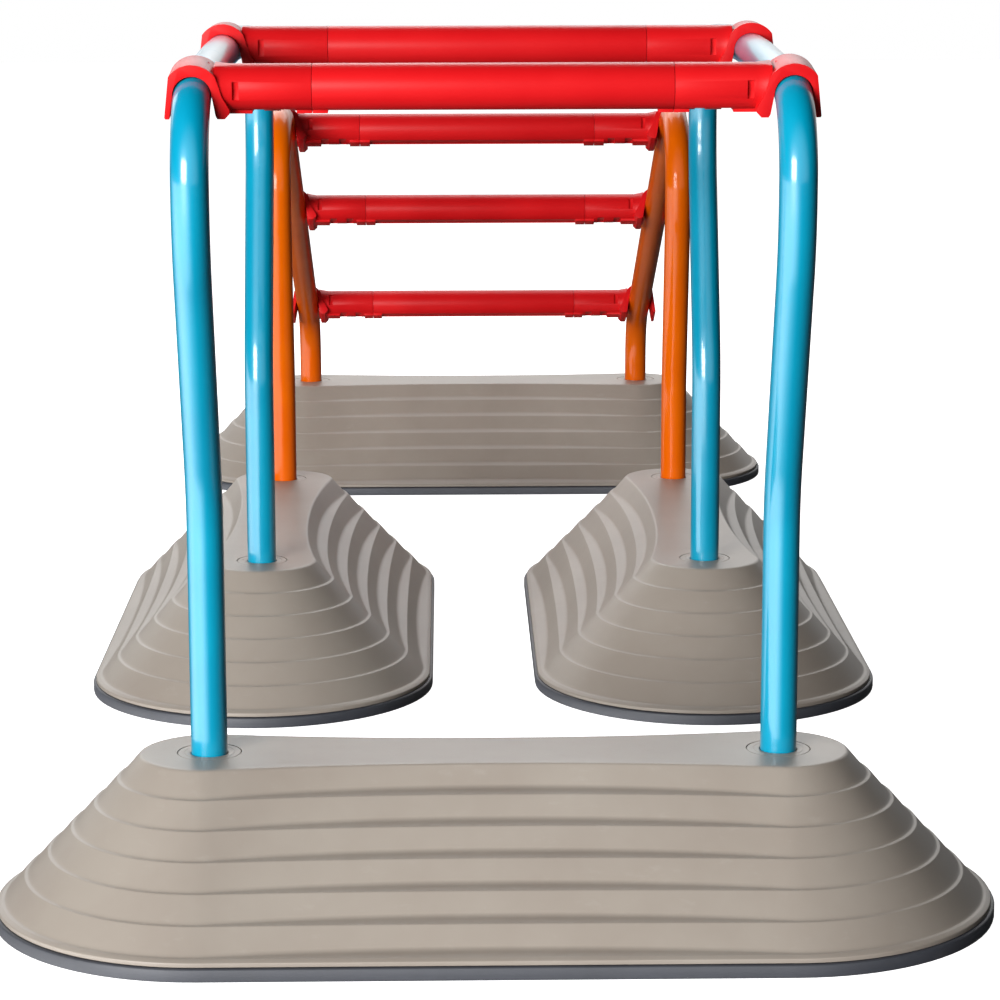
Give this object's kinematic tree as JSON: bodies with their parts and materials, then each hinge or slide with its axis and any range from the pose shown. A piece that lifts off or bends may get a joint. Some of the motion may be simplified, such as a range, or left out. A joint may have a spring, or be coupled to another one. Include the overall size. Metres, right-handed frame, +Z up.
{
  "type": "children's crawling and climbing course",
  "caption": "Free-standing crawling and climbing course: bent tube hoops and sloped frames stand in hollow terraced bases, with plastic crossbars hooked over the tubes.",
  "frame": {"origin": "on the floor, at the middle of the whole course", "axes": "+X to the right across the course, +Y along it from the front base to the rear base, +Z up"},
  "size_m": [0.831, 2.361, 0.7183],
  "materials": {
    "base_plastic": "satin moulded polyethylene",
    "rubber": "matt rubber",
    "blue_paint": "gloss powder coat on steel tube",
    "orange_paint": "gloss powder coat on steel tube",
    "red_plastic": "satin gloss moulding",
    "plug_plastic": "matt moulding"
  },
  "bodies": {
    "bases": {"front_base": "base_plastic", "left_base": "base_plastic", "right_base": "base_plastic", "rear_base": "base_plastic", "front_rubber_strip": "rubber", "left_rubber_strip": "rubber", "right_rubber_strip": "rubber", "rear_rubber_strip": "rubber", "front_sockets": "base_plastic", "left_sockets": "base_plastic", "right_sockets": "base_plastic", "rear_sockets": "base_plastic"},
    "hoops": {"hoop_tube_left": "blue_paint", "hoop_tube_right": "blue_paint", "hoop_end_plugs": "plug_plastic"},
    "slope_frames": {"slope_tube_left": "orange_paint", "slope_tube_right": "orange_paint", "slope_end_plugs": "plug_plastic"},
    "crossbar_1": {"crossbar_1_grip": "red_plastic", "crossbar_1_left_hook": "red_plastic", "crossbar_1_right_hook": "red_plastic"},
    "crossbar_2": {"crossbar_2_grip": "red_plastic", "crossbar_2_left_hook": "red_plastic", "crossbar_2_right_hook": "red_plastic"},
    "crossbar_3": {"crossbar_3_grip": "red_plastic", "crossbar_3_left_hook": "red_plastic", "crossbar_3_right_hook": "red_plastic"},
    "crossbar_4": {"crossbar_4_grip": "red_plastic", "crossbar_4_left_hook": "red_plastic", "crossbar_4_right_hook": "red_plastic"},
    "crossbar_5": {"crossbar_5_grip": "red_plastic", "crossbar_5_left_hook": "red_plastic", "crossbar_5_right_hook": "red_plastic"}
  },
  "joints": [
    {"name": "hoops_lift", "type": "slide", "parent": "bases", "child": "hoops", "axis": [0, 0, 1], "range_m": [0, 0.12]},
    {"name": "slope_frames_lift", "type": "slide", "parent": "bases", "child": "slope_frames", "axis": [0, 0, 1], "range_m": [0, 0.12]},
    {"name": "crossbar_1_lift", "type": "slide", "parent": "hoops", "child": "crossbar_1", "axis": [0, -0.1286, 0.9917], "range_m": [0, 0.06]},
    {"name": "crossbar_2_lift", "type": "slide", "parent": "hoops", "child": "crossbar_2", "axis": [0, -0.0088, 1], "range_m": [0, 0.06]},
    {"name": "crossbar_3_lift", "type": "slide", "parent": "slope_frames", "child": "crossbar_3", "axis": [0, 0.4384, 0.8988], "range_m": [0, 0.06]},
    {"name": "crossbar_4_lift", "type": "slide", "parent": "slope_frames", "child": "crossbar_4", "axis": [0, 0.4384, 0.8988], "range_m": [0, 0.06]},
    {"name": "crossbar_5_lift", "type": "slide", "parent": "slope_frames", "child": "crossbar_5", "axis": [0, 0.4384, 0.8988], "range_m": [0, 0.06]}
  ]
}
